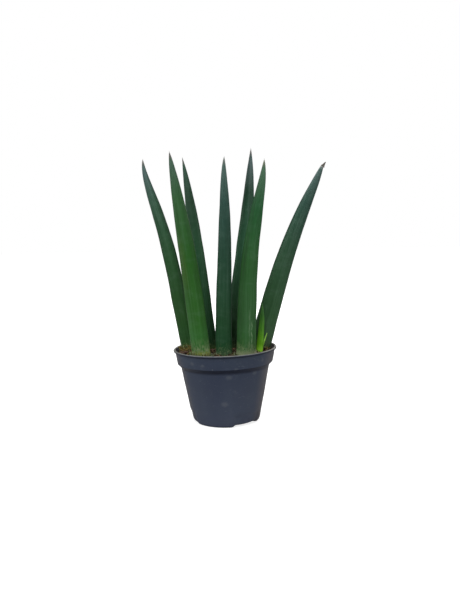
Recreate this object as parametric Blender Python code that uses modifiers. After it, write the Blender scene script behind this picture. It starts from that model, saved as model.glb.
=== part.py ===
"""Potted snake plant: stout pointed leaves and a young shoot in a turned plastic nursery pot.

Metres, +Z up. The origin is the centre of the pot's flat foot, -Y is the front. The pot and the soil
are turned profiles pressed in at the drainage channels, and each leaf is a loft along a curved path.
"""
import math

import bmesh
import bpy
import numpy as np
from mathutils import Vector

# ---- Clearance between touching pieces
GAP = 0.0003

# ---- Pot: driving sizes
RIM_RADIUS = 0.0606
POT_HEIGHT = 0.0865
WALL = 0.0010
LIP_BEAD_RADIUS = 0.0013
LIP_OVERHANG = 0.0020
COLLAR_HEIGHT = 0.0168
COLLAR_TAPER = 0.0025
STEP_DEPTH = 0.0041
STEP_DROP = 0.0041
BASE_RADIUS = 0.0396
FOOT_FILLET = 0.0040
FLOOR_FLAT_RADIUS = 0.0220

# ---- Drainage channels pressed into the foot of the wall, with a hole in each
CHANNEL_COUNT = 3
CHANNEL_FIRST_ANGLE = math.radians(-51.0)
CHANNEL_HALF_ANGLE = math.radians(25.0)
CHANNEL_EDGE_ANGLE = math.radians(8.0)
CHANNEL_HEIGHT = 0.0155
CHANNEL_SHOULDER = 0.0025
CHANNEL_DEPTH_TOP = 0.0009
CHANNEL_DEPTH_FOOT = 0.0011
CHANNEL_LIFT = 0.0024
DRAIN_HOLE_RADIUS = 0.0030
DRAIN_HOLE_INSET = 0.0109

# ---- Soil
SOIL_DROP = 0.0060
SOIL_CROWN = 0.0015

# ---- Leaves
LEAF_FOOT_BELOW_RIM = 0.0065
LEAF_BURIAL = 0.0100
BURIED_NARROWING = 0.15
LEAF_THICKNESS_RATIO = 0.50
BACK_SHARE = 0.62
CHANNEL_GROOVE_SHARE = 0.30
TAPER_POWER = 3.0
HOOK_POWER = 10

# ---- Dry sheath remains and bark
SCALE_THICKNESS = 0.0008
SCALE_CLEARANCE = 0.0005
CHIP_CLEARANCE = 0.0006

TURN_STEPS = 48
LEAF_RINGS = 15
LEAF_SIDES = 12

# One row for each leaf. base is its foot's place as a share of the soil's radius, and tip its tip's
# place with the height above the foot. lean is the mid line's sideways run for each unit of height at
# the foot, tip_lean the same near the tip, and hook is how far the last part turns back from that line
# to the upright. facing is the compass angle in degrees that its rounded back looks to (-90 is the
# front), taper narrows it evenly from foot to tip, and point is the power that draws the last third
# in: low is blunt, high is slender.
LEAVES = {
    "leaf_far_left": dict(base=(-0.736, 0.178), lean=(-0.21, 0.02), tip=(-0.0937, 0.028, 0.2275),
                          tip_lean=(-0.58, 0.10), hook=-0.0126, width=0.0198, taper=0.02, point=0.69,
                          facing=-112),
    "leaf_left_front": dict(base=(-0.473, -0.356), lean=(-0.096, -0.06), tip=(-0.0556, -0.040, 0.2264),
                            tip_lean=(-0.205, -0.10), hook=-0.0016, width=0.0219, taper=0.03,
                            point=0.75, facing=-104),
    "leaf_left_back": dict(base=(-0.337, 0.213), lean=(-0.12, 0.08), tip=(-0.0478, 0.042, 0.2306),
                           tip_lean=(-0.18, 0.18), hook=0.0, width=0.0213, taper=0.11, point=0.84,
                           facing=108),
    "leaf_centre": dict(base=(-0.016, -0.249), lean=(-0.024, -0.02), tip=(0.0029, -0.024, 0.2222),
                        tip_lean=(-0.10, -0.08), hook=-0.0035, width=0.0194, taper=0.22, point=0.64,
                        facing=-86),
    "leaf_right_back": dict(base=(0.169, 0.267), lean=(0.135, 0.08), tip=(0.0351, 0.046, 0.2406),
                            tip_lean=(0.045, 0.18), hook=0.0, width=0.0235, taper=0.10, point=0.82,
                            facing=74),
    "leaf_right_front": dict(base=(0.434, -0.285), lean=(0.014, -0.05), tip=(0.0463, -0.036, 0.2174),
                             tip_lean=(0.35, -0.12), hook=0.0070, width=0.0230, taper=0.15, point=0.71,
                             facing=-78),
    "leaf_far_right": dict(base=(0.698, 0.071), lean=(0.29, 0.04), tip=(0.1212, 0.032, 0.2219),
                           tip_lean=(0.63, 0.18), hook=0.0048, width=0.0266, taper=0.245, point=0.63,
                           facing=-75),
    "shoot_blade": dict(base=(0.708, -0.151), lean=(0.07, 0.0), tip=(0.0442, -0.005, 0.0577),
                        tip_lean=(-0.014, 0.08), hook=0.0, width=0.0081, taper=0.14, point=0.63,
                        facing=-84, thickness=0.34),
    "shoot_side_blade": dict(base=(0.748, -0.098), lean=(0.10, 0.0), tip=(0.0489, -0.0074, 0.0225),
                             tip_lean=(0.30, -0.05), hook=0.0, width=0.0024, taper=0.08, point=0.72,
                             facing=-70, thickness=0.45),
}

# Dry sheath remains: the leaf that each clasps, the section angles (0 and 180 are the leaf's edges,
# 90 the middle of its back) between which it lies, and its height above the soil.
SCALES = {
    "dry_scale_far_left": dict(leaf="leaf_far_left", span=(20, 150), height=0.0075),
    "dry_scale_left_front": dict(leaf="leaf_left_front", span=(15, 165), height=0.0085),
    "dry_scale_right_front": dict(leaf="leaf_right_front", span=(-12, 60), height=0.0070),
}

# Bark chips: place as a share of the soil's radius, turn in degrees, and length, width and thickness.
CHIPS = [
    dict(place=(-0.83, -0.20), turn=35, size=(0.0100, 0.0060, 0.0028)),
    dict(place=(-0.24, -0.02), turn=-20, size=(0.0070, 0.0048, 0.0022)),
    dict(place=(0.87, -0.24), turn=70, size=(0.0085, 0.0050, 0.0026)),
    dict(place=(-0.59, 0.59), turn=-40, size=(0.0110, 0.0065, 0.0030)),
    dict(place=(0.59, 0.59), turn=15, size=(0.0095, 0.0058, 0.0026)),
    dict(place=(-0.04, 0.71), turn=80, size=(0.0080, 0.0052, 0.0024)),
]

# colour, roughness
FINISHES = {
    "pot_plastic": ((0.045, 0.056, 0.076), 0.55),
    "soil": ((0.060, 0.038, 0.022), 0.95),
    "leaf_dark": ((0.026, 0.080, 0.040), 0.45),
    "leaf_bright": ((0.036, 0.115, 0.035), 0.45),
    "young_leaf": ((0.100, 0.280, 0.015), 0.45),
    "dry_scale": ((0.420, 0.400, 0.190), 0.85),
    "bark": ((0.130, 0.062, 0.034), 0.90),
}
LEAF_FINISH = {
    "leaf_left_front": "leaf_bright",
    "leaf_right_front": "leaf_bright",
    "shoot_blade": "young_leaf",
    "shoot_side_blade": "young_leaf",
}

# ---- Sizes that follow from the above
LIP_CENTRE_RADIUS = RIM_RADIUS - LIP_BEAD_RADIUS
COLLAR_TOP_RADIUS = RIM_RADIUS - LIP_OVERHANG
COLLAR_FOOT_RADIUS = COLLAR_TOP_RADIUS - COLLAR_TAPER
BODY_TOP_RADIUS = COLLAR_FOOT_RADIUS - STEP_DEPTH
LIP_CENTRE_LEVEL = POT_HEIGHT - LIP_BEAD_RADIUS
COLLAR_FOOT_LEVEL = POT_HEIGHT - COLLAR_HEIGHT
BODY_TOP_LEVEL = COLLAR_FOOT_LEVEL - STEP_DROP
SOIL_LEVEL = POT_HEIGHT - SOIL_DROP
LEAF_FOOT_LEVEL = POT_HEIGHT - LEAF_FOOT_BELOW_RIM
DRAIN_HOLE_FROM_AXIS = BASE_RADIUS - DRAIN_HOLE_INSET


def smoothstep(value):
    """0 below 0, 1 above 1, and 3v^2 - 2v^3 between."""
    v = np.clip(value, 0.0, 1.0)
    return v * v * (3.0 - 2.0 * v)


# ---------------------------------------------------------------- pot and soil profiles
def body_levels():
    """Levels at which the body's wall has points: close together at the channels' shoulder."""
    shoulder_foot = CHANNEL_HEIGHT - CHANNEL_SHOULDER
    above = CHANNEL_HEIGHT + 0.35 * (BODY_TOP_LEVEL - CHANNEL_HEIGHT)
    return [above, CHANNEL_HEIGHT, shoulder_foot, 0.5 * (shoulder_foot + FOOT_FILLET)]


def body_radius(level):
    """Outer radius of the plain cone between the step and the foot fillet."""
    share = (level - FOOT_FILLET) / (BODY_TOP_LEVEL - FOOT_FILLET)
    return BASE_RADIUS + share * (BODY_TOP_RADIUS - BASE_RADIUS)


def wall_line(inset):
    """(radius, level) from under the lip down to the pot's centre, inset evenly from the outside."""
    line = [
        (COLLAR_TOP_RADIUS - inset, LIP_CENTRE_LEVEL),
        (COLLAR_FOOT_RADIUS - inset, COLLAR_FOOT_LEVEL),
        (BODY_TOP_RADIUS - inset, BODY_TOP_LEVEL),
    ]
    line += [(body_radius(level) - inset, level) for level in body_levels()]
    # foot fillet, then the flat floor
    fillet = max(FOOT_FILLET - inset, 0.0005)
    centre_radius = BASE_RADIUS - inset - fillet
    for angle in np.linspace(0.0, 0.5 * math.pi, 4):
        line.append((centre_radius + fillet * math.cos(angle),
                     inset + fillet - fillet * math.sin(angle)))
    for radius in np.linspace(centre_radius, FLOOR_FLAT_RADIUS, 4)[1:]:
        line.append((float(radius), inset))
    line.append((0.0, inset))
    return line


def pot_profile():
    """Inner floor centre, up the inside, over the rolled lip, down the outside to the outer centre."""
    inside = wall_line(WALL)[::-1][:-1]
    lip = [(LIP_CENTRE_RADIUS + LIP_BEAD_RADIUS * math.cos(angle),
            LIP_CENTRE_LEVEL + LIP_BEAD_RADIUS * math.sin(angle))
           for angle in np.radians([180, 135, 90, 45, 0, -45])]
    lip.append((COLLAR_TOP_RADIUS, LIP_CENTRE_LEVEL - LIP_BEAD_RADIUS))
    return inside + lip + wall_line(0.0)[1:]


def soil_radius(level):
    """Radius of the soil's side inside the collar."""
    share = (level - COLLAR_FOOT_LEVEL) / (LIP_CENTRE_LEVEL - COLLAR_FOOT_LEVEL)
    return COLLAR_FOOT_RADIUS + share * COLLAR_TAPER - WALL - GAP


def soil_height(radius):
    """Level of the crowned soil surface."""
    return SOIL_LEVEL + SOIL_CROWN * (1.0 - (radius / soil_radius(SOIL_LEVEL)) ** 2)


def soil_profile():
    """Top centre, out over the crown, then down the pot's inside to the bottom centre."""
    edge = soil_radius(SOIL_LEVEL)
    top = [(edge * share, soil_height(edge * share)) for share in (0.0, 0.3, 0.6, 0.85, 1.0)]
    return top + wall_line(WALL + GAP)[1:]


def channel_angles():
    return [CHANNEL_FIRST_ANGLE + 2.0 * math.pi * k / CHANNEL_COUNT for k in range(CHANNEL_COUNT)]


def press_channels(points):
    """Move points of a turned surface inward and up inside the drainage channels."""
    radius = np.hypot(points[:, 0], points[:, 1])
    angle = np.arctan2(points[:, 1], points[:, 0])
    inside = np.zeros(len(points))
    for middle in channel_angles():
        away = np.abs((angle - middle + math.pi) % (2.0 * math.pi) - math.pi)
        inside = np.maximum(inside, smoothstep((CHANNEL_HALF_ANGLE - away) / CHANNEL_EDGE_ANGLE + 0.5))
    below = np.clip((CHANNEL_HEIGHT - points[:, 2]) / CHANNEL_HEIGHT, 0.0, 1.0)
    started = smoothstep((CHANNEL_HEIGHT - points[:, 2]) / CHANNEL_SHOULDER)
    outer = smoothstep((radius - FLOOR_FLAT_RADIUS) / (BASE_RADIUS - FOOT_FILLET - FLOOR_FLAT_RADIUS))
    depth = CHANNEL_DEPTH_TOP + (CHANNEL_DEPTH_FOOT - CHANNEL_DEPTH_TOP) * below
    inward = inside * started * outer * depth
    lift = inside * outer * below * CHANNEL_LIFT
    shrink = 1.0 - inward / np.maximum(radius, 1e-6)
    return np.column_stack([points[:, 0] * shrink, points[:, 1] * shrink, points[:, 2] + lift])


# ---------------------------------------------------------------- objects
def new_collection(name):
    collection = bpy.data.collections.new(name)
    bpy.context.scene.collection.children.link(collection)
    return collection


def finish(name):
    """The Principled material of that name, made on first use."""
    material = bpy.data.materials.get(name)
    if material is None:
        colour, roughness = FINISHES[name]
        material = bpy.data.materials.new(name)
        material.use_nodes = True
        shader = material.node_tree.nodes["Principled BSDF"]
        shader.inputs["Base Color"].default_value = (*colour, 1.0)
        shader.inputs["Roughness"].default_value = roughness
        shader.inputs["Metallic"].default_value = 0.0
    return material


def add_object(name, mesh, collection, finish_name=None):
    piece = bpy.data.objects.new(name, mesh)
    collection.objects.link(piece)
    if finish_name:
        mesh.materials.clear()
        mesh.materials.append(finish(finish_name))
    return piece


def turned_mesh(name, profile):
    """The profile turned about Z with a Screw modifier, pressed in at the drainage channels."""
    mesh = bpy.data.meshes.new(name + "_profile")
    edges = [(k, k + 1) for k in range(len(profile) - 1)]
    mesh.from_pydata([(radius, 0.0, level) for radius, level in profile], edges, [])
    source = bpy.data.objects.new(name + "_profile", mesh)
    bpy.context.scene.collection.objects.link(source)
    screw = source.modifiers.new("turn", "SCREW")
    screw.steps = TURN_STEPS
    screw.render_steps = TURN_STEPS
    screw.use_merge_vertices = True
    screw.merge_threshold = 0.00001
    graph = bpy.context.evaluated_depsgraph_get()
    turned = bpy.data.meshes.new_from_object(source.evaluated_get(graph))
    bpy.data.objects.remove(source)
    body = bmesh.new()
    body.from_mesh(turned)
    bmesh.ops.remove_doubles(body, verts=body.verts, dist=0.00001)
    points = press_channels(np.array([vert.co for vert in body.verts]))
    for vert, point in zip(body.verts, points):
        vert.co = Vector(point)
    bmesh.ops.recalc_face_normals(body, faces=body.faces)
    # the pot's inside and the soil fold alike, so that the gap between them stays even
    bmesh.ops.triangulate(body, faces=body.faces, quad_method="SHORT_EDGE")
    body.to_mesh(turned)
    body.free()
    turned.name = name
    turned.shade_smooth()
    turned.set_sharp_from_angle(angle=math.radians(40.0))
    return turned


def as_cutter(piece):
    piece.hide_render = True
    piece.display_type = "WIRE"
    return piece


def cut(piece, cutter):
    boolean = piece.modifiers.new("cut_" + cutter.name, "BOOLEAN")
    boolean.operation = "DIFFERENCE"
    boolean.solver = "EXACT"
    boolean.object = cutter


# ---------------------------------------------------------------- leaves
def hermite(share, start, end, start_run, end_run):
    """Cubic from start to end whose slopes at the ends are the two runs."""
    s2 = share * share
    s3 = s2 * share
    return ((2 * s3 - 3 * s2 + 1) * start + (s3 - 2 * s2 + share) * start_run
            + (3 * s2 - 2 * s3) * end + (s3 - s2) * end_run)


def leaf_path(leaf, share):
    """Mid line at a share of the height: 0 at the foot level, 1 at the tip, straight below 0.

    A cubic in each direction, less a hook that grows with a high power of the share.
    """
    rise = leaf["tip"][2]
    above = np.maximum(share, 0.0)
    below = np.minimum(share, 0.0)
    columns = []
    for axis in (0, 1):
        hook = leaf["hook"] if axis == 0 else 0.0
        foot = leaf["base"][axis] * soil_radius(SOIL_LEVEL)
        curve = hermite(above, foot, leaf["tip"][axis] + hook,
                        leaf["lean"][axis] * rise, leaf["tip_lean"][axis] * rise)
        columns.append(curve - hook * above ** HOOK_POWER + below * rise * leaf["lean"][axis])
    columns.append(LEAF_FOOT_LEVEL + share * rise)
    return np.stack(columns, axis=-1)


def leaf_half_width(leaf, share):
    """Half width: even taper, drawn in to the tip by (1 - s^3) to a power, narrower in the soil."""
    above = np.clip(share, 0.0, 1.0)
    rise = leaf["tip"][2]
    buried = np.clip(-share * rise / LEAF_BURIAL, 0.0, 1.0)
    outline = (1.0 - leaf["taper"] * above) * (1.0 - above ** TAPER_POWER) ** leaf["point"]
    return 0.5 * leaf["width"] * outline * (1.0 - BURIED_NARROWING * buried)


def leaf_points(leaf, share, angle, grow=0.0):
    """Points on the leaf's skin: a rounded back and a shallow channel along the inner face."""
    share, angle = np.broadcast_arrays(np.asarray(share, float), np.asarray(angle, float))
    step = 1e-3
    along = leaf_path(leaf, share + step) - leaf_path(leaf, share - step)
    along /= np.linalg.norm(along, axis=-1, keepdims=True)
    facing = math.radians(leaf["facing"])
    back = np.array([math.cos(facing), math.sin(facing), 0.0])
    back = back - along * (along @ back)[..., None]
    back /= np.linalg.norm(back, axis=-1, keepdims=True)
    side = np.cross(along, back)
    half = leaf_half_width(leaf, share)
    depth = 2.0 * leaf.get("thickness", LEAF_THICKNESS_RATIO) * half
    across = np.cos(angle) * (half + grow)
    lift = np.sin(angle)
    inner = (1.0 - BACK_SHARE) * -lift - CHANNEL_GROOVE_SHARE * lift ** 4
    outward = np.where(lift >= 0.0, BACK_SHARE * lift * depth, -inner * depth) + grow * lift
    return leaf_path(leaf, share) + side * across[..., None] + back * outward[..., None]


def close_loft(name, rings, apex=None):
    """Closed mesh from rings of points, capped at the first and closed at the apex or the last."""
    count, around = rings.shape[:2]
    points = rings.reshape(-1, 3).tolist()
    faces = [list(range(around))[::-1]]
    for k in range(count - 1):
        for j in range(around):
            near = k * around
            far = near + around
            after = (j + 1) % around
            faces.append([near + j, near + after, far + after, far + j])
    last = (count - 1) * around
    if apex is None:
        faces.append([last + j for j in range(around)])
    else:
        points.append(list(apex))
        tip = len(points) - 1
        faces += [[last + j, last + (j + 1) % around, tip] for j in range(around)]
    mesh = bpy.data.meshes.new(name)
    mesh.from_pydata(points, [], faces)
    body = bmesh.new()
    body.from_mesh(mesh)
    bmesh.ops.recalc_face_normals(body, faces=body.faces)
    body.to_mesh(mesh)
    body.free()
    mesh.shade_smooth()
    mesh.set_sharp_from_angle(angle=math.radians(50.0))
    return mesh


def section_angles():
    return np.linspace(0.0, 2.0 * math.pi, LEAF_SIDES, endpoint=False)


def foot_share(leaf):
    return -LEAF_BURIAL / leaf["tip"][2]


def leaf_mesh(name, leaf):
    """Rings from the buried foot to near the tip, closer together where the leaf draws in."""
    shares = 1.0 - (1.0 - np.linspace(0.0, 1.0, LEAF_RINGS + 1)[:-1]) ** 1.5
    shares = np.concatenate([[foot_share(leaf)], shares])
    rings = leaf_points(leaf, shares[:, None], section_angles()[None, :])
    return close_loft(name, rings, apex=leaf_path(leaf, np.array(1.0)))


def pocket_mesh(name, leaf):
    """The buried end of a leaf grown by the clearance, long enough to come out of the soil."""
    rise = leaf["tip"][2]
    shares = np.array([foot_share(leaf) - GAP / rise, foot_share(leaf), 0.0, SOIL_DROP / rise])
    return close_loft(name, leaf_points(leaf, shares[:, None], section_angles()[None, :], grow=GAP))


def scale_mesh(name, scale):
    """Open ragged sheet that clasps a leaf just above the soil; Solidify gives it its thickness."""
    leaf = LEAVES[scale["leaf"]]
    rise = leaf["tip"][2]
    angles = np.radians(np.linspace(scale["span"][0], scale["span"][1], 11))
    foot = leaf_points(leaf, np.zeros_like(angles), angles, grow=GAP)
    stand = soil_height(np.hypot(foot[:, 0], foot[:, 1])) + SCALE_CLEARANCE - foot[:, 2]
    ragged = 0.72 + 0.18 * np.sin(2.3 * angles * 3.0) + 0.10 * np.cos(5.1 * angles * 3.0)
    edge = np.sin(np.linspace(0.0, math.pi, len(angles)))
    height = scale["height"] * ragged * (0.45 + 0.55 * edge)
    rows = np.linspace(0.0, 1.0, 4)[:, None]
    shares = (stand[None, :] + height[None, :] * rows) / rise
    points = leaf_points(leaf, shares, angles[None, :] + 0.0 * rows, grow=GAP + 0.0001)
    rows_count, columns = points.shape[:2]
    faces = [[k * columns + j, (k + 1) * columns + j, (k + 1) * columns + j + 1, k * columns + j + 1]
             for k in range(rows_count - 1) for j in range(columns - 1)]
    mesh = bpy.data.meshes.new(name)
    mesh.from_pydata(points.reshape(-1, 3).tolist(), [], faces)
    mesh.shade_smooth()
    return mesh


# ---------------------------------------------------------------- the plant
def build_pot(parts, cutters):
    pot = add_object("pot", turned_mesh("pot", pot_profile()), parts, "pot_plastic")
    for k, angle in enumerate(channel_angles()):
        place = (DRAIN_HOLE_FROM_AXIS * math.cos(angle), DRAIN_HOLE_FROM_AXIS * math.sin(angle), 0.0)
        bpy.ops.mesh.primitive_cylinder_add(vertices=16, radius=DRAIN_HOLE_RADIUS, location=place,
                                            depth=2.0 * (CHANNEL_LIFT + 3.0 * WALL))
        hole = bpy.context.object
        hole.name = f"drain_hole_cutter_{k + 1}"
        for owner in list(hole.users_collection):
            owner.objects.unlink(hole)
        cutters.objects.link(hole)
        cut(pot, as_cutter(hole))


def build_soil(parts, cutters):
    soil = add_object("potting_soil", turned_mesh("potting_soil", soil_profile()), parts, "soil")
    for name, leaf in LEAVES.items():
        pocket = add_object(name + "_pocket", pocket_mesh(name + "_pocket", leaf), cutters)
        cut(soil, as_cutter(pocket))


def build_leaves(parts):
    for name, leaf in LEAVES.items():
        add_object(name, leaf_mesh(name, leaf), parts, LEAF_FINISH.get(name, "leaf_dark"))


def build_scales(parts):
    for name, scale in SCALES.items():
        piece = add_object(name, scale_mesh(name, scale), parts, "dry_scale")
        solidify = piece.modifiers.new("thickness", "SOLIDIFY")
        solidify.thickness = SCALE_THICKNESS
        solidify.offset = 1.0


def build_chips(parts):
    for k, chip in enumerate(CHIPS):
        length, width, thickness = chip["size"]
        body = bmesh.new()
        bmesh.ops.create_cube(body, size=1.0)
        bmesh.ops.scale(body, vec=(length, width, thickness), verts=body.verts)
        # split chips of bark are wedges: the far end is thinner and narrower
        for vert in body.verts:
            if vert.co.x > 0.0:
                vert.co.y *= 0.7
                vert.co.z *= 0.6
        mesh = bpy.data.meshes.new(f"bark_chip_{k + 1}")
        body.to_mesh(mesh)
        body.free()
        piece = add_object(mesh.name, mesh, parts, "bark")
        reach = 0.5 * math.hypot(length, width)
        place = [share * soil_radius(SOIL_LEVEL) for share in chip["place"]]
        nearest = max(math.hypot(*place) - reach, 0.0)
        level = soil_height(nearest) + 0.5 * thickness + CHIP_CLEARANCE
        piece.location = (*place, level)
        piece.rotation_euler = (0.0, 0.0, math.radians(chip["turn"]))
        bevel = piece.modifiers.new("worn_edges", "BEVEL")
        bevel.width = 0.25 * thickness
        bevel.segments = 1


def build():
    for thing in list(bpy.data.objects):
        bpy.data.objects.remove(thing)
    parts = new_collection("potted_snake_plant")
    cutters = new_collection("cutters")
    build_pot(parts, cutters)
    build_soil(parts, cutters)
    build_leaves(parts)
    build_scales(parts)
    build_chips(parts)


build()
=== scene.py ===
"""Potted snake plant: seven stout pointed leaves and a young shoot in a turned plastic nursery pot.

Metres, +Z up, -Y is the front. Each surface is a grid of points worked out from a formula, and each
finish is built from noise that follows the piece: along the leaf, along the fibre, round the pot.
"""

import math

import bmesh
import bpy
import numpy as np
from mathutils import Matrix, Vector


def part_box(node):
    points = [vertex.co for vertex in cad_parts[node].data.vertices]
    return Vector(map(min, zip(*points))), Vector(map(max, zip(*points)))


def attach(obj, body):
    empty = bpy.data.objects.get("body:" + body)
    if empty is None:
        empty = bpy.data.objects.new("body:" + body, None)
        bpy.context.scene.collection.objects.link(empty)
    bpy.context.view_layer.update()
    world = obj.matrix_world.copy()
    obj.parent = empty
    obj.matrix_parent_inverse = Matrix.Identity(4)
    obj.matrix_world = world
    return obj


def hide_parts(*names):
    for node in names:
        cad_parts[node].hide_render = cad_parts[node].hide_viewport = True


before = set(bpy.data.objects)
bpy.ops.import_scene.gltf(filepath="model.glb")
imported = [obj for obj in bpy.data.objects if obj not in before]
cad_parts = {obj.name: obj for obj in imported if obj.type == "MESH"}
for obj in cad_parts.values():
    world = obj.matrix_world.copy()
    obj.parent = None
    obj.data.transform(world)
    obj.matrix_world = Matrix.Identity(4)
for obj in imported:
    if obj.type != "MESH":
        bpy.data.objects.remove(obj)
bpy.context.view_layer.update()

TURN = 2.0 * math.pi

# ---- Pot
RIM_RADIUS = 0.0606
POT_HEIGHT = 0.0865
WALL = 0.0010
SOIL_GAP = 0.0003
LIP_BEAD_RADIUS = 0.0013
COLLAR_TOP_RADIUS = 0.0586
COLLAR_FOOT_RADIUS = 0.0561
COLLAR_FOOT_LEVEL = 0.0697
BODY_TOP_RADIUS = 0.0520
BODY_TOP_LEVEL = 0.0656
BASE_RADIUS = 0.0396
FOOT_FILLET = 0.0040
FLOOR_FLAT_RADIUS = 0.0220
LIP_CENTRE_RADIUS = RIM_RADIUS - LIP_BEAD_RADIUS
LIP_CENTRE_LEVEL = POT_HEIGHT - LIP_BEAD_RADIUS
POT_SIDES = 384
# the soft collar sits a little out of level: higher at the right and at the front
COLLAR_LEAN_RIGHT = 0.0013 / RIM_RADIUS
COLLAR_LEAN_FRONT = 0.0006 / RIM_RADIUS

# pale scuffs on the front: across, level, reach
POT_SCUFFS = [(0.0124, 0.0708, 0.0050), (0.0044, 0.0612, 0.0070), (0.0330, 0.0640, 0.0066),
              (-0.0010, 0.0294, 0.0080), (-0.0362, 0.0759, 0.0056), (-0.0244, 0.0750, 0.0044),
              (0.0420, 0.0780, 0.0044)]
# levels between which shade is painted under the lip and under the collar, where their overhangs shade the
# wall: start, full, fading, end
LIP_SHADE_LEVELS = (0.0828, 0.0838, 0.0850, 0.0860)
COLLAR_SHADE_LEVELS = (0.0624, 0.0664, 0.0694, 0.0702)
# levels and outer radii of the wall
POT_OUTLINE = ((0.0, BODY_TOP_LEVEL, COLLAR_FOOT_LEVEL, POT_HEIGHT),
               (BASE_RADIUS, BODY_TOP_RADIUS, COLLAR_FOOT_RADIUS, COLLAR_TOP_RADIUS))

# ---- Drainage channels and holes
CHANNEL_ANGLES = np.radians([-51.0, 69.0, 189.0])
CHANNEL_HALF_ANGLE = math.radians(25.0)
CHANNEL_EDGE_ANGLE = math.radians(8.0)
CHANNEL_HEIGHT = 0.0155
CHANNEL_SHOULDER = 0.0025
CHANNEL_DEPTH_TOP = 0.0009
CHANNEL_DEPTH_FOOT = 0.0011
CHANNEL_LIFTS = np.array([0.0020, 0.0020, 0.0006])
DRAIN_HOLE_RADIUS = 0.0030
DRAIN_HOLE_FROM_AXIS = 0.0287
DRAIN_CUT_LEVELS = (-0.004, 0.007)

# ---- Soil
SOIL_LEVEL = 0.0805
SOIL_RADIUS = 0.05654
SOIL_CROWN = 0.0015
CRUMBS = 1700
STRANDS = 150
TUFTS = 620
# how far the soil has settled towards the front
SOIL_DIP = 0.0028
# heaps of crumbs against the leaves: place as a share of the soil's radius, height, reach
HEAPS = [
    dict(place=(-0.80, -0.02), height=0.0030, reach=0.0070),
    dict(place=(-0.62, -0.20), height=0.0014, reach=0.0080),
    dict(place=(-0.25, -0.17), height=0.0022, reach=0.0050),
    dict(place=(0.84, -0.02), height=0.0036, reach=0.0060),
]

# ---- Leaves
LEAF_FOOT_LEVEL = 0.0800
LEAF_BURIAL = 0.0100
LEAF_THICKNESS_RATIO = 0.50
BACK_SHARE = 0.62
CHANNEL_GROOVE_SHARE = 0.30
TAPER_POWER = 3.0
HOOK_POWER = 10
NEEDLE_LENGTH = 0.0014
NEEDLE_HALF_WIDTH = 0.00042
LEAF_RINGS = 230
LEAF_SIDES = 80
# shares of the height at which the five colours of a leaf lie
COLOUR_STOPS = (0.03, 0.19, 0.50, 0.78, 0.93)

# Foot as a share of the soil's radius; tip in metres with its height above the foot level. end is
# the share of the height where the living leaf stops, if that is short of its tip.
LEAVES = {
    "leaf_far_left": dict(base=(-0.736, 0.178), lean=(-0.21, 0.02), tip=(-0.0937, 0.028, 0.2275),
                          tip_lean=(-0.58, 0.10), hook=-0.0126, width=0.0198, taper=0.02, point=0.69,
                          facing=-112),
    "leaf_left_front": dict(base=(-0.473, -0.356), lean=(-0.096, -0.06), tip=(-0.0556, -0.040, 0.2264),
                            tip_lean=(-0.205, -0.10), hook=-0.0016, width=0.0219, taper=0.03,
                            point=0.75, facing=-104),
    "leaf_left_back": dict(base=(-0.337, 0.213), lean=(-0.12, 0.08), tip=(-0.0478, 0.042, 0.2306),
                           tip_lean=(-0.18, 0.18), hook=0.0, width=0.0213, taper=0.11, point=0.84,
                           facing=108),
    "leaf_centre": dict(base=(-0.016, -0.249), lean=(-0.024, -0.02), tip=(0.0029, -0.024, 0.2222),
                        tip_lean=(-0.10, -0.08), hook=-0.0035, width=0.0194, taper=0.22, point=0.64,
                        facing=-86),
    "leaf_right_back": dict(base=(0.169, 0.267), lean=(0.135, 0.08), tip=(0.0351, 0.046, 0.2406),
                            tip_lean=(0.045, 0.18), hook=0.0, width=0.0235, taper=0.10, point=0.82,
                            facing=74),
    "leaf_right_front": dict(base=(0.434, -0.285), lean=(0.014, -0.05), tip=(0.0463, -0.036, 0.2174),
                             tip_lean=(0.35, -0.12), hook=0.0070, width=0.0230, taper=0.15, point=0.71,
                             facing=-78),
    "leaf_far_right": dict(base=(0.698, 0.071), lean=(0.29, 0.04), tip=(0.1212, 0.032, 0.2219),
                           tip_lean=(0.63, 0.18), hook=0.0048, width=0.0266, taper=0.245, point=0.63,
                           facing=-75, end=0.977),
    "shoot_blade": dict(base=(0.708, -0.151), lean=(0.07, 0.0), tip=(0.0442, -0.005, 0.0577),
                        tip_lean=(-0.014, 0.08), hook=0.0, width=0.0081, taper=0.14, point=0.63,
                        facing=-84, thickness=0.34),
    "shoot_side_blade": dict(base=(0.748, -0.098), lean=(0.10, 0.0), tip=(0.0489, -0.0074, 0.0225),
                             tip_lean=(0.30, -0.05), hook=0.0, width=0.0024, taper=0.08, point=0.72,
                             facing=-70, thickness=0.45),
}

# Dry sheath remains: leaf, section angles that they clasp, height above the soil
SCALES = {
    "dry_scale_far_left": dict(leaf="leaf_far_left", span=(20, 150), height=0.0075, seed=31),
    "dry_scale_left_front": dict(leaf="leaf_left_front", span=(15, 165), height=0.0085, seed=32),
    "dry_scale_right_front": dict(leaf="leaf_right_front", span=(-12, 60), height=0.0070, seed=33),
}

# Bark chips: place as a share of the soil's radius, turn in degrees, and length, width, thickness
CHIPS = [
    dict(place=(-0.83, -0.20), turn=35, size=(0.0100, 0.0060, 0.0028)),
    dict(place=(-0.24, -0.02), turn=-20, size=(0.0070, 0.0048, 0.0022)),
    dict(place=(0.87, -0.24), turn=70, size=(0.0085, 0.0050, 0.0026)),
    dict(place=(-0.59, 0.59), turn=-40, size=(0.0110, 0.0065, 0.0030)),
    dict(place=(0.59, 0.59), turn=15, size=(0.0095, 0.0058, 0.0026)),
    dict(place=(-0.04, 0.71), turn=80, size=(0.0080, 0.0052, 0.0024)),
]

# ---- Lights and camera
LIGHT_AIM = (0.0, 0.0, 0.17)
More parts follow.
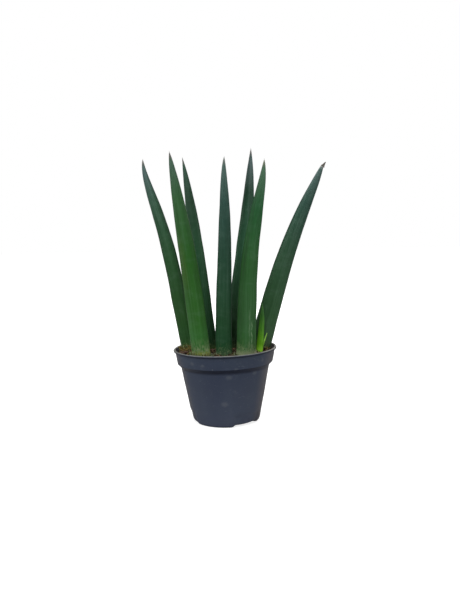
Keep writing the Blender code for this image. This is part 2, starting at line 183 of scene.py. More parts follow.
# place, size in metres, power in watts
SOFTBOXES = {
    "top_softbox": ((0.0, -0.20, 1.25), 1.0, 12.0),
    "key_softbox": ((-0.90, -1.00, 0.95), 0.8, 11.0),
    "fill_softbox": ((1.05, -0.85, 0.65), 0.8, 5.0),
    "back_softbox": ((0.3, 1.2, 0.8), 1.1, 11.0),
    "left_softbox": ((-1.2, 0.5, 0.6), 0.8, 1.5),
}
FLOOR_RADIUS = 9.0
# lens in millimetres, dip below the level and roll in degrees
CAMERA_PLACE = (0.00671, -0.6975, 0.2148)
CAMERA_LENS = 35.24
CAMERA_DIP = 6.587
CAMERA_ROLL = -0.948


# ---- Numbers
def smoothstep(value):
    """0 below 0, 1 above 1, and 3v^2 - 2v^3 between."""
    v = np.clip(value, 0.0, 1.0)
    return v * v * (3.0 - 2.0 * v)


def waves(points, seed, length, octaves=2):
    """Uneven height, roughly -1 to 1: sines in random directions, each octave half as long and high."""
    rng = np.random.default_rng(seed)
    total = np.zeros(points.shape[:-1])
    for octave in range(octaves):
        for _ in range(7):
            direction = rng.normal(size=3)
            direction *= 1.0 / (np.linalg.norm(direction) * length * 0.5 ** octave)
            total += 0.5 ** octave * np.sin(TURN * (points @ direction + rng.random()))
    return total / 3.2


def unit(vectors):
    """Vectors divided by their lengths."""
    return vectors / np.linalg.norm(vectors, axis=-1, keepdims=True)


def stack(*parts):
    """Arrays spread to one shape and put side by side on a new last axis."""
    return np.stack(np.broadcast_arrays(*parts), axis=-1)


def full_turn(count):
    """Evenly spaced angles once round."""
    return np.linspace(0.0, TURN, count, endpoint=False)


def polar(radius, angle, level=0.0):
    """Points at a radius and an angle about Z, at a level."""
    return stack(radius * np.cos(angle), radius * np.sin(angle), level)


def spin(a, b, angle):
    """A pair of coordinates turned by an angle from the first towards the second."""
    return a * np.cos(angle) - b * np.sin(angle), a * np.sin(angle) + b * np.cos(angle)


def signed_power(value, power):
    """The value's size raised to a power, with the value's sign."""
    return np.sign(value) * np.abs(value) ** power


# ---- Meshes
def ring_faces(rings, around):
    """Four-sided faces between neighbouring rings of a tube, closed round its seam."""
    k = np.arange(rings - 1)[:, None] * around
    j = np.arange(around)[None, :]
    after = (j + 1) % around
    return stack(k + j, k + after, k + around + after, k + around + j).reshape(-1, 4)


def fan_faces(start, around, pole, flip):
    """Triangles from one ring to its pole."""
    j = np.arange(around)
    after = (j + 1) % around
    pair = (start + after, start + j) if flip else (start + j, start + after)
    return stack(*pair, pole)


def make_mesh(name, points, faces, **attributes):
    """Mesh from an array of points and lists of faces, all turned outwards and shaded smooth."""
    mesh = bpy.data.meshes.new(name)
    mesh.from_pydata(points.reshape(-1, 3).tolist(), [], faces)
    body = bmesh.new()
    body.from_mesh(mesh)
    bmesh.ops.recalc_face_normals(body, faces=body.faces)
    body.to_mesh(mesh)
    body.free()
    for label, values in attributes.items():
        kind, slot = {3: ("FLOAT_VECTOR", "vector"), 4: ("FLOAT_COLOR", "color")}[values.shape[-1]]
        data = mesh.attributes.new(label, kind, "POINT").data
        data.foreach_set(slot, values.ravel().astype(np.float32))
    mesh.shade_smooth()
    return mesh


def tube_mesh(name, rings, start, end, **attributes):
    """Closed tube from rings of points to a pole at each end. Each attribute is a grid of values,
    one for each point of the rings, followed by the values at the two poles."""
    count, around = rings.shape[:2]
    points = np.vstack([rings.reshape(-1, 3), start, end])
    body = count * around
    faces = ring_faces(count, around).tolist()
    faces += fan_faces(0, around, body, True).tolist()
    faces += fan_faces(body - around, around, body + 1, False).tolist()
    values = {label: np.vstack([grid.reshape(-1, 3), *ends])
              for label, (grid, *ends) in attributes.items()}
    return make_mesh(name, points, faces, **values)


def add_object(name, data):
    made = bpy.data.objects.new(name, data)
    bpy.context.scene.collection.objects.link(made)
    return made


def place(name, mesh, material, slot, *nodes):
    """A finished piece at the origin, riding on the one body, in place of the CAD nodes given."""
    piece = add_object(name, mesh)
    mesh.materials.clear()
    mesh.materials.append(material)
    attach(piece, "root")
    if nodes:
        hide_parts(*nodes)
    return piece


# ---- Nodes
class Field:
    """A value that varies over a surface, held by a socket. Arithmetic on it adds Math nodes."""

    def __init__(self, tree, socket):
        self.tree = tree
        self.socket = socket

    def math(self, operation, *others, clamp=False):
        return field(node(self.tree, "ShaderNodeMath", enumerate([self, *others]),
                          operation=operation, use_clamp=clamp))

    def __add__(self, other):
        return self.math("ADD", other)

    def __sub__(self, other):
        return self.math("SUBTRACT", other)

    def __mul__(self, other):
        return self.math("MULTIPLY", other)

    def __truediv__(self, other):
        return self.math("DIVIDE", other)

    def __abs__(self):
        return self.math("ABSOLUTE")

    def vector(self, operation, other=(0.0, 0.0, 0.0)):
        made = node(self.tree, "ShaderNodeVectorMath", {0: self, 1: other}, operation=operation)
        return field(made, "Value" if operation == "LENGTH" else "Vector")

    def parts(self):
        made = node(self.tree, "ShaderNodeSeparateXYZ", {0: self})
        return [field(made, k) for k in range(3)]

    def step(self, low, high, out_low=0.0, out_high=1.0):
        """Smooth step from one end of a range to the other."""
        return field(node(self.tree, "ShaderNodeMapRange",
                          {0: self, 1: low, 2: high, 3: out_low, 4: out_high},
                          interpolation_type="SMOOTHSTEP"))

    def band(self, start, full, fading, end):
        """Smooth rise from start to full and fall from fading to end."""
        return self.step(start, full) * self.step(end, fading)

    def noise(self, scale, detail=3.0, roughness=0.55, distortion=0.0):
        """Noise at a point. A scale of three numbers draws it out along the axes."""
        spot = self
        if isinstance(scale, tuple):
            spot, scale = self.vector("MULTIPLY", scale), 1.0
        return field(node(self.tree, "ShaderNodeTexNoise", {
            "Vector": spot, "Scale": scale, "Detail": detail, "Roughness": roughness,
            "Distortion": distortion}), "Fac")

    def ramp(self, stops):
        """Colour ramp through (place, colour) stops."""
        stops = list(stops)
        made = node(self.tree, "ShaderNodeValToRGB", {0: self})
        elements = made.color_ramp.elements
        while len(elements) < len(stops):
            elements.new(0.5)
        for element, (spot, colour) in zip(elements, stops):
            element.position = spot
            element.color = (*colour, 1.0)
        return field(made, "Color")


def field(made, key=0):
    return Field(made.id_data, made.outputs[key])


def node(tree, kind, inputs=(), **settings):
    """Add a node. inputs pairs a socket's name or number with a value, or with a field to link."""
    made = tree.nodes.new(kind)
    for key, value in settings.items():
        setattr(made, key, value)
    for key, value in dict(inputs).items():
        socket = made.inputs[key]
        if isinstance(value, Field):
            tree.links.new(value.socket, socket)
        else:
            socket.default_value = (*value[:3], 1.0) if socket.type == "RGBA" else value
    return made


def link(value, socket):
    value.tree.links.new(value.socket, socket)


def blend(share, first, second, way="MIX"):
    """Mix of two colours: the first at share 0, the second at share 1."""
    tree = next(value.tree for value in (share, first, second) if isinstance(value, Field))
    return field(node(tree, "ShaderNodeMix", {0: share, 6: first, 7: second}, data_type="RGBA",
                      blend_type=way), 2)


def attribute(tree, name, output="Vector"):
    return field(node(tree, "ShaderNodeAttribute", attribute_name=name), output)


def object_position(tree):
    return field(node(tree, "ShaderNodeTexCoord"), "Object")


def new_group(name, inputs, outputs):
    """Node group. Gives the group, its inputs as fields, and its output node's sockets."""
    group = bpy.data.node_groups.new(name, "ShaderNodeTree")
    for way, sockets in (("INPUT", inputs), ("OUTPUT", outputs)):
        for label, kind in sockets.items():
            group.interface.new_socket(label, in_out=way, socket_type="NodeSocket" + kind)
    given = group.nodes.new("NodeGroupInput")
    result = group.nodes.new("NodeGroupOutput").inputs
    return group, {label: field(given, label) for label in inputs}, result


def use(group, **inputs):
    """Outputs of a node group, as fields."""
    tree = next(value.tree for value in inputs.values() if isinstance(value, Field))
    made = node(tree, "ShaderNodeGroup", inputs, node_tree=group)
    return {socket.name: Field(tree, socket) for socket in made.outputs}


def new_material(name, roughness=0.6, specular=0.5):
    """Principled material. Gives it, its tree and its shader's inputs."""
    material = bpy.data.materials.new(name)
    material.use_nodes = True
    shader = material.node_tree.nodes["Principled BSDF"].inputs
    shader["Roughness"].default_value = roughness
    shader["Specular IOR Level"].default_value = specular
    return material, material.node_tree, shader


def bump(shader, height, strength, distance):
    made = node(height.tree, "ShaderNodeBump",
                {"Height": height, "Strength": strength, "Distance": distance})
    link(field(made), shader["Normal"])


def grey(value):
    return (value, value, value, 1.0)


# ---- Shared effects
def make_speckle_group():
    """Pale dust, specks and rubbed patches: fine grains where a broad cloud is strong."""
    group, given, result = new_group(
        "dust_and_rub",
        {"position": "Vector", "patch_size": "Float", "grain_size": "Float", "amount": "Float"},
        {"dust": "Float", "rub": "Float"})
    cloud = given["position"].noise(given["patch_size"], 3.0, 0.6)
    grain = given["position"].noise(given["grain_size"], 2.0, 0.6)
    link(grain.step(0.56, 0.72) * cloud.step(0.42, 0.75) * given["amount"], result["dust"])
    link(cloud.step(0.60, 0.78) * given["amount"], result["rub"])
    return group


def make_fibre_group():
    """Fibre grain: noise drawn out along Z of the given coordinates, light and dark strands."""
    group, given, result = new_group(
        "fibre_grain",
        {"position": "Vector", "across": "Float", "along": "Float", "light": "Color",
         "dark": "Color"},
        {"color": "Color", "height": "Float"})
    sizes = field(node(group, "ShaderNodeCombineXYZ",
                       {0: given["across"], 1: given["across"], 2: given["along"]}))
    strands = given["position"].vector("MULTIPLY", sizes).noise(1.0, 4.0, 0.65, 0.3)
    blotch = given["position"].noise(300.0, 2.0, 0.5)
    share = (strands + blotch * 0.4).step(0.45, 0.95)
    link(blend(share, given["dark"], given["light"]), result["color"])
    link(strands, result["height"])
    return group


def make_leaf_group():
    """Snake plant skin: even ground, cross mottling, fine lines along the leaf, and its relief.

    straight is the point as if the leaf were straightened, in metres: across, deep, along.
    """
    group, given, result = new_group(
        "leaf_figure",
        {"straight": "Vector", "ground": "Color", "wax": "Color", "mottling": "Float",
         "lines": "Float"},
        {"color": "Color", "height": "Float", "gloss_loss": "Float"})
    straight, ground = given["straight"], given["ground"]
    pale = blend(0.085, ground, given["wax"])
    deep = blend(1.0, ground, (0.60, 0.64, 0.60), "MULTIPLY")
    clouds = straight.noise((70.0, 70.0, 130.0), 4.0, 0.55, 0.35)
    broad = straight.noise((120.0, 120.0, 18.0), 3.0, 0.5)
    line = (straight.noise((1050.0, 1050.0, 7.0), 2.0, 0.6)
            + straight.noise((360.0, 360.0, 4.0), 2.0, 0.5))
    pores = straight.noise((2600.0, 2600.0, 900.0), 2.0, 0.6)
    colour = blend(clouds.step(0.46, 0.74) * given["mottling"], ground, pale)
    colour = blend(broad.step(0.48, 0.76) * given["mottling"], colour, deep)
    colour = blend(line.step(1.0, 1.35) * given["lines"], colour, pale)
    colour = blend(line.step(1.0, 0.70) * given["lines"], colour, deep)
    link(colour, result["color"])
    link(line * 0.5 + pores * 0.35, result["height"])
    link(clouds * 0.25, result["gloss_loss"])
    return group


SPECKLE = make_speckle_group()
FIBRE = make_fibre_group()
FIGURE = make_leaf_group()


# ---- Finishes
def leaf_finish(name, along, wax=(0.34, 0.50, 0.42), mottling=0.4, lines=0.5, flank=None, lit_side_tint=None,
                dry=0.975, dry_colour=(0.105, 0.100, 0.090), scurf_share=0.0, bloom=0.0, scar=(),
                foot_colour=(0.125, 0.170, 0.030)):
    """Waxy leaf skin. Its colours lie along the leaf from foot to tip, then a dry grey-brown point.

    flank is (start, end, darkness) across a shaded side; the lit-side tint (colour, start, end, low, high)
    is painted light, a lighter yellower colour on the side the light falls on, between two shares of the
    height; each scar is a pale mark drawn out along the leaf: (place across, reach, low, high, strength).
    """
    material, tree, shader = new_material(name, specular=0.16)
    straight = attribute(tree, "straight")
    across, _, share = attribute(tree, "section").parts()
    body = share.ramp(zip(COLOUR_STOPS, along))
    # painted light: a lighter, yellower tint on the side of the leaf that the light falls on
    if lit_side_tint:
        tint, start, end, low, high = lit_side_tint
        here = across.step(start, end) * share.band(low, low + 0.15, high - 0.15, high)
        body = blend(here * 0.45, body, tint)
    figure = use(FIGURE, straight=straight, ground=body, wax=wax, mottling=mottling, lines=lines)
    colour = figure["color"]
    if flank:
        start, end, darkness = flank
        colour = blend(across.step(start, end) * darkness, colour, (0.45, 0.50, 0.45), "MULTIPLY")
    colour = blend(abs(across).step(0.95, 1.0) * 0.5, colour, (0.45, 0.42, 0.35), "MULTIPLY")
    if scar:
        wander = straight.noise((0.0, 0.0, 160.0)) * 0.16
        broken = straight.noise((900.0, 900.0, 260.0)).step(0.36, 0.60)
        for middle, reach, low, high, strength in scar:
            mark = abs(across + wander - middle).step(reach, 0.1 * reach)
            span = share.band(low, low + 0.03, high - 0.05, high)
            colour = blend(mark * span * broken * strength, colour, (0.25, 0.36, 0.22))
    # scurf left by the old sheath: a whitish bloom, yellow-green at the soil, pale flecks above
    soft = straight.noise((420.0, 420.0, 150.0), 3.0, 0.6, 0.4)
    veil = share.step(0.105, 0.040) * soft.step(0.38, 0.62)
    colour = blend(veil * bloom, colour, (0.20, 0.28, 0.13))
    fleck = straight.noise((620.0, 620.0, 330.0), 4.0, 0.7, 0.5)
    level = share + (fleck - 0.5) * 0.10
    colour = blend(level.step(0.034, 0.012) * scurf_share * 0.75, colour, foot_colour)
    pale_part = level.step(0.085, 0.030) * fleck.step(0.48, 0.68) * scurf_share
    colour = blend(pale_part, colour, (0.30, 0.36, 0.18))
    # dust, then the dry point
    dust = use(SPECKLE, position=straight, patch_size=70.0, grain_size=1500.0, amount=0.22)
    colour = blend(dust["dust"], colour, (0.15, 0.20, 0.15))
    colour = blend(share.step(dry - 0.02, dry + 0.015), colour, dry_colour)
    link(colour, shader["Base Color"])
    rough = (figure["gloss_loss"] + 0.36).math("ADD", pale_part * 0.35, clamp=True)
    link(rough, shader["Roughness"])
    bump(shader, figure["height"] + pale_part * 0.8, 0.5, 0.00022)
    return material


def pot_finish():
    """Blue-grey nursery plastic: satin, finely grained, dusty, with pale scuffs; a paler lip top that is
    partly painted highlight and partly wear, painted warm reflection at the sides, and painted shade under
    the lip and the collar.
    """
    material, tree, shader = new_material("pot_plastic", specular=0.22)
    position = object_position(tree)
    x, y, height = position.parts()
    level = height - (x * COLLAR_LEAN_RIGHT - y * COLLAR_LEAN_FRONT)
    body = (level / POT_HEIGHT).ramp([
        (0.03, (0.0560, 0.0680, 0.1030)), (0.25, (0.0455, 0.0580, 0.0885)),
        (0.50, (0.0355, 0.0465, 0.0755)), (0.72, (0.0310, 0.0420, 0.0715)),
        (0.95, (0.0325, 0.0455, 0.0735))])
    from_axis = (x * x + y * y).math("SQRT")
    sideways = x / from_axis
    # painted reflection: a warmer colour where the wall turns away at the left and right sides, lighter at
    # the right
    body = blend(sideways.step(-0.80, -0.98), body, (0.046, 0.046, 0.060))
    body = blend(sideways.step(0.70, 0.98), body, (0.070, 0.065, 0.074))
    flow = position.noise((30.0, 30.0, 9.0), 3.0, 0.5, 0.5)
    colour = blend(flow.step(0.68, 0.35), body, (0.87, 0.88, 0.93), "MULTIPLY")
    marks = use(SPECKLE, position=position, patch_size=75.0, grain_size=1300.0, amount=0.35)
    colour = blend(marks["rub"], colour, (0.062, 0.078, 0.104))
    colour = blend(marks["dust"], colour, (0.140, 0.145, 0.145))
    scuffs = position.noise((150.0, 150.0, 420.0), 3.0, 0.6, 1.5).step(0.63, 0.76) * 0.4
    grit = position.noise(900.0, 3.0, 0.6)
    for across, middle, reach in POT_SCUFFS:
        radius = float(np.interp(middle, *POT_OUTLINE))
        centre = (across, -math.sqrt(radius ** 2 - across ** 2), middle)
        off = position.vector("SUBTRACT", centre).vector("MULTIPLY", (1.0, 1.0, 1.3))
        near = off.vector("LENGTH").step(reach, 0.0) + (grit - 0.5)
        scuffs = scuffs.math("MAXIMUM", near.step(0.15, 1.05) * 0.24)
    colour = blend(scuffs, colour, (0.150, 0.158, 0.165))
    # paler lip top, partly a painted highlight where the lip catches the light and partly wear; earth on the
    # inside above the soil
    top = level.step(POT_HEIGHT - 0.0012, POT_HEIGHT - 0.0002)
    worn = position.noise(260.0, 3.0, 0.6).step(0.30, 0.55)
    colour = blend(top * (worn * 0.45 + 0.45), colour, (0.165, 0.165, 0.145))
    inside = from_axis.step(COLLAR_TOP_RADIUS - 0.0008, COLLAR_TOP_RADIUS - 0.0012)
    inside = inside * level.step(SOIL_LEVEL - 0.0015, SOIL_LEVEL - 0.0005)
    earth = position.noise(380.0, 4.0, 0.65).step(0.46, 0.62)
    colour = blend(inside * earth * 0.7, colour, (0.085, 0.058, 0.038))
    # painted shade in the angle under the lip and under the collar: darker and bluer where the overhangs
    # shade the wall
    outside = from_axis.step(COLLAR_TOP_RADIUS - 0.0006, COLLAR_TOP_RADIUS - 0.0002)
    painted_shade = (level.band(*LIP_SHADE_LEVELS) * outside * 0.80).math("MAXIMUM", level.band(*COLLAR_SHADE_LEVELS) * 0.90)
    link(blend(painted_shade, colour, (0.02, 0.08, 0.22), "MULTIPLY"), shader["Base Color"])
    link(flow * 0.16 + 0.46 + marks["rub"] * 0.15, shader["Roughness"])
    ripples = position.noise((35.0, 35.0, 260.0), 2.0, 0.5)
    bump(shader, position.noise(2600.0, 2.0, 0.6) * 0.35 + ripples, 0.35, 0.00015)
    return material


def soil_finish(name, tinted):
    """Peat and bark soil: dark brown clods with paler crumbs; tinted pieces carry their own colour."""
    material, tree, shader = new_material(name, roughness=0.95, specular=0.15)
    position = object_position(tree)
    clods = position.noise(420.0, 5.0, 0.7)
    if tinted:
        own = attribute(tree, "tint", "Color")
        colour = blend(clods.step(0.30, 0.72), blend(0.62, own, grey(0.004)), own)
    else:
        colour = blend(clods.step(0.35, 0.70), (0.012, 0.008, 0.005), (0.065, 0.040, 0.023))
    bits = position.noise(1400.0, 2.0, 0.6).step(0.62, 0.74)
    link(blend(bits * 0.5, colour, (0.16, 0.10, 0.055)), shader["Base Color"])
    bump(shader, clods, 0.8, 0.0008)
    return material


def fibre_finish(name, light, dark, across, along, roughness, strength, specular=0.25, patches=()):
    """Dry fibrous skin: bark, or the papery remains of a sheath, with grain along the piece.

    Each patch is (colour, size of its noise, share): stains that lie over the grain.
    """
    material, tree, shader = new_material(name, roughness=roughness, specular=specular)
    straight = attribute(tree, "straight")
    grain = use(FIBRE, position=straight, across=across, along=along, light=light, dark=dark)
    dust = use(SPECKLE, position=straight, patch_size=260.0, grain_size=2200.0, amount=0.7)
    colour = grain["color"]
    for k, (stain, scale, amount) in enumerate(patches):
        spread = straight.vector("ADD", (0.1 * k, 0.2, 0.3)).noise(scale, 3.0, 0.6)
        spread = spread.step(0.62 - 0.2 * amount, 0.72 - 0.2 * amount)
        colour = blend(spread * 0.85, colour, stain)
    colour = blend(dust["dust"], colour, (0.33, 0.27, 0.18))
    link(blend(dust["rub"] * 0.5, colour, dark), shader["Base Color"])
    link(grain["height"] * 0.16 + (roughness - 0.08), shader["Roughness"])
    bump(shader, grain["height"], strength, 0.0004)
    return material


# ---- Pot
def rounded(corners, steps=7):
    """Line through (radius, level, rounding) corners, each one cut back by its rounding and
    bridged with a quadratic curve pulled to the corner."""
    line = []
    spots = np.array(corners, float)
    for k, (radius, level, reach) in enumerate(spots):
        here = np.array([radius, level])
        if reach == 0.0 or k in (0, len(spots) - 1):
            line.append(here[None])
            continue
        before = here + unit(spots[k - 1, :2] - here) * reach
        after = here + unit(spots[k + 1, :2] - here) * reach
        t = np.linspace(0.0, 1.0, steps)[:, None]
        line.append((1 - t) ** 2 * before + 2 * t * (1 - t) * here + t ** 2 * after)
    return np.vstack(line)


def evened(line, longest):
    """The same line with extra points so that no stretch is longer than the given length."""
    out = [line[:1]]
    for a, b in zip(line[:-1], line[1:]):
        count = max(1, math.ceil(np.linalg.norm(b - a) / longest))
        out.append(a + (b - a) * np.linspace(0.0, 1.0, count + 1)[1:, None])
    return np.vstack(out)


def wall_corners(inset):
    """Corners from under the lip down to the pot's centre, inset from the outside."""
    fillet = max(FOOT_FILLET - inset, 0.0005)
    return [
        (COLLAR_TOP_RADIUS - inset, LIP_CENTRE_LEVEL - LIP_BEAD_RADIUS, 0.0004),
        (COLLAR_FOOT_RADIUS - inset, COLLAR_FOOT_LEVEL + 0.4 * inset, 0.0009),
        (BODY_TOP_RADIUS - inset, BODY_TOP_LEVEL + 0.4 * inset, 0.0014),
        (BASE_RADIUS - inset, inset, fillet),
        (FLOOR_FLAT_RADIUS, inset, 0.0010),
        (0.0, inset, 0.0),
    ]


def press_channels(points):
    """Points of a turned surface moved inward and up inside the drainage channels."""
    radius = np.hypot(points[..., 0], points[..., 1])
    angle = np.arctan2(points[..., 1], points[..., 0])
    from_each = np.abs((angle[..., None] - CHANNEL_ANGLES + math.pi) % TURN - math.pi)
    away = from_each.min(axis=-1)
    raised = CHANNEL_LIFTS[from_each.argmin(axis=-1)]
    inside = smoothstep((CHANNEL_HALF_ANGLE - away) / CHANNEL_EDGE_ANGLE + 0.5)
    below = np.clip((CHANNEL_HEIGHT - points[..., 2]) / CHANNEL_HEIGHT, 0.0, 1.0)
    started = smoothstep((CHANNEL_HEIGHT - points[..., 2]) / CHANNEL_SHOULDER)
    outer = smoothstep((radius - FLOOR_FLAT_RADIUS) / (BASE_RADIUS - FOOT_FILLET - FLOOR_FLAT_RADIUS))
    depth = CHANNEL_DEPTH_TOP + (CHANNEL_DEPTH_FOOT - CHANNEL_DEPTH_TOP) * below
    shrink = 1.0 - inside * started * outer * depth / np.maximum(radius, 1e-6)
    lift = inside * outer * below * raised
    return stack(points[..., 0] * shrink, points[..., 1] * shrink, points[..., 2] + lift)


def lean_collar(points):
    """Raise points in proportion to their distance to the right and to the front, in full from the
    collar up and less and less towards the foot."""
    share = np.clip(points[..., 2] / COLLAR_FOOT_LEVEL, 0.0, 1.0) ** 1.5
    rise = COLLAR_LEAN_RIGHT * points[..., 0] - COLLAR_LEAN_FRONT * points[..., 1]
    return points + stack(0.0, 0.0, share * rise)


def turned(line, sides):
    """Rings of the (radius, level) line turned about Z."""
    return polar(line[:, :1], full_turn(sides), line[:, 1:])


def drain_cutter(name, angle):
    """Upright cylinder through the pot's floor in the drainage channel at an angle."""
    centre = polar(DRAIN_HOLE_FROM_AXIS, angle)
    low, high = (polar(0.0, 0.0, level) for level in DRAIN_CUT_LEVELS)
    ring = centre + polar(DRAIN_HOLE_RADIUS, full_turn(40))
    return add_object(name, tube_mesh(name, np.stack([ring + low, ring + high]), centre + low,
                                      centre + high))


def make_pot():
    """Inside, rolled lip and outside in one turned line; the wall swells and dips a little."""
    inside = rounded(wall_corners(WALL))[::-1]
    bead = np.radians(np.linspace(190.0, -50.0, 22))[:, None]
    lip = np.hstack([LIP_CENTRE_RADIUS + LIP_BEAD_RADIUS * np.cos(bead),
                     LIP_CENTRE_LEVEL + LIP_BEAD_RADIUS * np.sin(bead)])
    line = evened(np.vstack([inside, lip, rounded(wall_corners(0.0))]), 0.0022)
    rings = turned(line[1:-1], POT_SIDES)
    uneven = 0.00022 * waves(rings, 11, 0.045, 1)
    uneven *= smoothstep((rings[..., 2] - 0.018) / 0.02) * smoothstep((POT_HEIGHT - rings[..., 2]) / 0.01)
    radius = np.hypot(rings[..., 0], rings[..., 1])
    rings[..., :2] *= (1.0 + uneven / radius)[..., None]
    rings = lean_collar(press_channels(rings))
    start = [0.0, 0.0, line[0, 1]]
    end = [0.0, 0.0, line[-1, 1]]
    pot = add_object("pot_blank", tube_mesh("pot", rings, start, end))
    cutters = [drain_cutter(f"drain_cut_{k}", angle) for k, angle in enumerate(CHANNEL_ANGLES)]
    for cutter in cutters:
        cut = pot.modifiers.new("drain", "BOOLEAN")
        cut.operation = "DIFFERENCE"
        cut.solver = "EXACT"
        cut.object = cutter
    graph = bpy.context.evaluated_depsgraph_get()
    finished = bpy.data.meshes.new_from_object(pot.evaluated_get(graph))
    for spare in [pot, *cutters]:
        bpy.data.objects.remove(spare)
    finished.name = "pot_surface"
    finished.shade_smooth()
    finished.set_sharp_from_angle(angle=math.radians(50.0))
    place("nursery_pot", finished, pot_finish(), "pot_plastic", "pot")


# ---- Leaves
def hermite(share, start, end, start_run, end_run):
    """Cubic from start to end whose slopes at the ends are the two runs."""
    s2 = share * share
    s3 = s2 * share
    return ((2 * s3 - 3 * s2 + 1) * start + (s3 - 2 * s2 + share) * start_run
            + (3 * s2 - 2 * s3) * end + (s3 - s2) * end_run)


def leaf_path(leaf, share):
    """Mid line at a share of the height: a cubic each way less a hook near the tip, and straight on
    below 0 and above 1."""
    rise = leaf["tip"][2]
    above = np.clip(share, 0.0, 1.0)
    below = np.minimum(share, 0.0)
    beyond = np.maximum(share - 1.0, 0.0)
    columns = []
    for axis, hook in ((0, leaf["hook"]), (1, 0.0)):
        start_run = leaf["lean"][axis] * rise
        end_run = leaf["tip_lean"][axis] * rise
        curve = hermite(above, leaf["base"][axis] * SOIL_RADIUS, leaf["tip"][axis] + hook, start_run, end_run)
        columns.append(curve - hook * above ** HOOK_POWER + below * start_run
                       + beyond * (end_run - HOOK_POWER * hook))
    columns.append(LEAF_FOOT_LEVEL + share * rise)
    return stack(*columns)


def leaf_half_width(leaf, share):
    """Half width: even taper, drawn in to the tip by (1 - s^3) to a power, and never less than the
    hard needle at the point, which itself thins over its last millimetres."""
    above = np.clip(share, 0.0, 1.0)
    outline = (1.0 - leaf["taper"] * above) * (1.0 - above ** TAPER_POWER) ** leaf["point"]
    left = (1.0 + NEEDLE_LENGTH / leaf["tip"][2] - share) / 0.03
    needle = NEEDLE_HALF_WIDTH * np.sqrt(np.clip(left, 0.0, 1.0))
    return np.hypot(0.5 * leaf["width"] * outline, needle)


def leaf_depth(leaf, half):
    """Thickness of the leaf where it has the half width given."""
    return 2.0 * leaf.get("thickness", LEAF_THICKNESS_RATIO) * half


def leaf_axes(leaf, share):
    """Directions along the leaf, across it and out of its rounded back."""
    step = 1e-3
    along = unit(leaf_path(leaf, share + step) - leaf_path(leaf, share - step))
    facing = math.radians(leaf["facing"])
    back = np.array([math.cos(facing), math.sin(facing), 0.0])
    back = unit(back - along * (along @ back)[..., None])
    return along, np.cross(along, back), back


def leaf_section(leaf, share, angle, grow=0.0):
    """Across and outward distances of the skin: rounded back, shallow channel on the inner face."""
    half = leaf_half_width(leaf, share)
    depth = leaf_depth(leaf, half)
    lift = np.sin(angle)
    inner = (1.0 - BACK_SHARE) * -lift - CHANNEL_GROOVE_SHARE * lift ** 4
    outward = np.where(lift >= 0.0, BACK_SHARE * lift * depth, -inner * depth) + grow * lift
    return np.cos(angle) * (half + grow), outward


def leaf_points(leaf, share, angle, grow=0.0):
    """Points of the skin: the mid line plus the section's distances across and outward."""
    share, angle = np.broadcast_arrays(np.asarray(share, float), np.asarray(angle, float))
    _, side, back = leaf_axes(leaf, share)
    across, outward = leaf_section(leaf, share, angle, grow)
    return leaf_path(leaf, share) + side * across[..., None] + back * outward[..., None]


def leaf_mesh(name, leaf, seed, rings=LEAF_RINGS, sides=LEAF_SIDES, ribs=26, relief=1.0):
    """Loft with shallow ribs along it and slow swells; the attributes follow the straightened leaf,
    each leaf at its own distance along so that no two have the same pattern."""
    rise = leaf["tip"][2]
    first = -LEAF_BURIAL / rise
    last = leaf.get("end", 1.0 + NEEDLE_LENGTH / rise)
    offset = 0.83 * seed
    shares = last * (1.0 - (1.0 - np.linspace(0.0, 1.0, rings + 1)[:-1]) ** 1.35)
    shares = np.concatenate([[first, 0.5 * first], shares])[:, None]
    share, angle = np.broadcast_arrays(shares, full_turn(sides))
    flat_across, flat_outward = leaf_section(leaf, share, angle)
    straight = stack(flat_across, flat_outward, share * rise + offset)
    slim = np.clip(leaf_half_width(leaf, share) / (0.4 * leaf["width"]), 0.0, 1.0)
    wander = 0.6 * np.sin(3.0 * share + seed) + 0.25 * waves(straight * [1, 1, 0.3], seed, 0.02, 1)
    rib = 0.00007 * np.cos(ribs * angle + wander) * np.abs(np.sin(angle)) ** 0.5
    swell = 0.00018 * waves(straight * [1.6, 1.6, 0.5], seed + 5, 0.022, 2)
    points = leaf_points(leaf, share, angle, grow=relief * slim * (rib + swell))
    foot = leaf_path(leaf, np.array(first))
    tip = leaf_path(leaf, np.array(last))
    section = stack(np.cos(angle), np.sin(angle), share)
    return tube_mesh(name, points, foot, tip,
                     straight=(straight, [0, 0, offset - LEAF_BURIAL], [0, 0, offset + last * rise]),
                     section=(section, [0, 0, first], [0, 0, last]))


